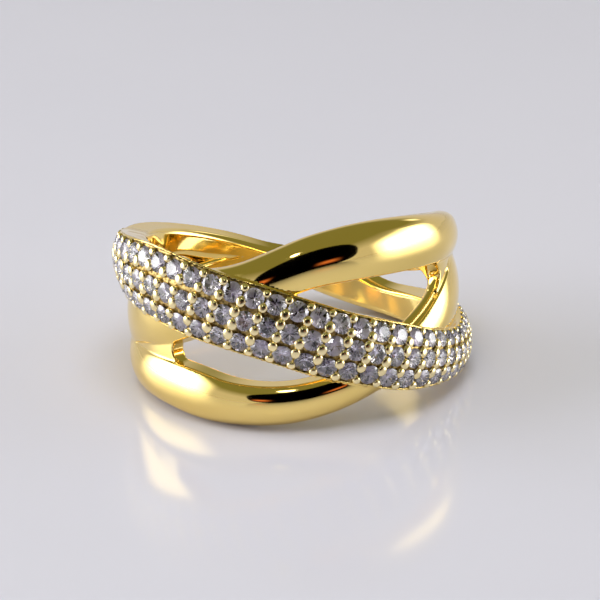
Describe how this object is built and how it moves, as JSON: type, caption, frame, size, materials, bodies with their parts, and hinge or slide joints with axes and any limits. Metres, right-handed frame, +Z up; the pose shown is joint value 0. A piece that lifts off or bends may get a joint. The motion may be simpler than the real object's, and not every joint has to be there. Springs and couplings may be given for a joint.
{
  "type": "crossover ring",
  "caption": "Gold-coloured crossover finger ring: two plain domed strands and a strand set with three rows of small round stones cross at the front and meet in one narrow shank.",
  "frame": {"origin": "middle of the finger hole", "axes": "+Z up as the ring rests on its side, near the finger hole's axis, which leans 8.5 degrees back; -Y towards the front, where the strands cross; +X to the right seen from the front"},
  "size_m": [0.0216, 0.0209, 0.012],
  "materials": {
    "band": "polished",
    "stones": "polished"
  },
  "bodies": {
    "root": {"band": "band", "stones": "stones"}
  },
  "joints": []
}
